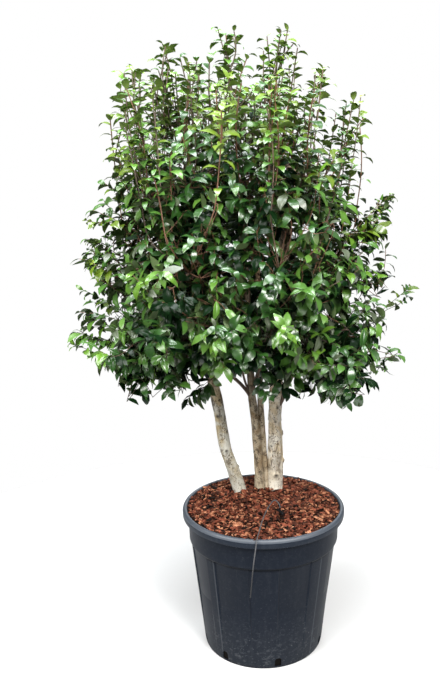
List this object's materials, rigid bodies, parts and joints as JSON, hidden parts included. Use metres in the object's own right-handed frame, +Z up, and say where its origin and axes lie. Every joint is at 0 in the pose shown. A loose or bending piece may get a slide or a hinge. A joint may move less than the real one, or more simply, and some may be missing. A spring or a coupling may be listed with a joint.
{
  "type": "potted camellia shrub",
  "caption": "Evergreen multi-stemmed shrub with a dense leafy crown, standing in a round nursery pot topped with bark mulch; it is set out as it stands.",
  "frame": {"origin": "on the ground, at the centre of the pot's flat underside", "axes": "+Z up; +X to the right and -Y towards the front, the side that the drip tube hangs on"},
  "size_m": [1.4556, 1.3389, 2.6487],
  "materials": {
    "pot": "satin dark blue-grey, scuffed and dusty towards the foot",
    "soil": "damp peat and bark compost",
    "mulch": "coarse red-brown bark chips",
    "bark": "pale grey-beige bark, speckled, with knots and pruning scars",
    "twig": "brown to reddish-brown thin bark",
    "foliage": "glossy dark green leaves",
    "young_foliage": "glossy lighter green young leaves",
    "dripper": "glossy black moulded plastic",
    "tube": "satin dark grey tube"
  },
  "bodies": {
    "root": {"bough_inner": "twig", "bough_left": "twig", "bough_right": "twig", "bough_thin": "twig", "drip_tube": "tube", "dripper": "dripper", "foliage_lower_back": "foliage", "foliage_lower_front": "foliage", "foliage_lower_left_back": "foliage", "foliage_lower_left_front": "foliage", "foliage_lower_right_back": "foliage", "foliage_lower_right_front": "foliage", "foliage_middle_left": "foliage", "foliage_middle_left_back": "foliage", "foliage_middle_left_front": "foliage", "foliage_middle_right": "foliage", "foliage_middle_right_back": "foliage", "foliage_middle_right_front": "foliage", "foliage_top_front": "foliage", "foliage_top_left": "foliage", "foliage_top_right_back": "foliage", "foliage_upper_back": "foliage", "foliage_upper_left": "foliage", "foliage_upper_left_front": "foliage", "foliage_upper_right": "foliage", "foliage_upper_right_front": "foliage", "leader_shoot_1": "young_foliage", "leader_shoot_10": "young_foliage", "leader_shoot_11": "young_foliage", "leader_shoot_12": "young_foliage", "leader_shoot_13": "young_foliage", "leader_shoot_2": "young_foliage", "leader_shoot_3": "young_foliage", "leader_shoot_4": "young_foliage", "leader_shoot_5": "young_foliage", "leader_shoot_6": "young_foliage", "leader_shoot_7": "young_foliage", "leader_shoot_8": "young_foliage", "leader_shoot_9": "young_foliage", "mulch": "mulch", "pot": "pot", "root_ball": "soil", "side_shoot_1": "young_foliage", "side_shoot_10": "young_foliage", "side_shoot_2": "young_foliage", "side_shoot_3": "young_foliage", "side_shoot_4": "young_foliage", "side_shoot_5": "young_foliage", "side_shoot_6": "young_foliage", "side_shoot_7": "young_foliage", "side_shoot_8": "young_foliage", "side_shoot_9": "young_foliage", "stem_centre": "bark", "stem_left": "bark", "stem_right": "bark", "stem_slim": "bark"}
  },
  "joints": []
}
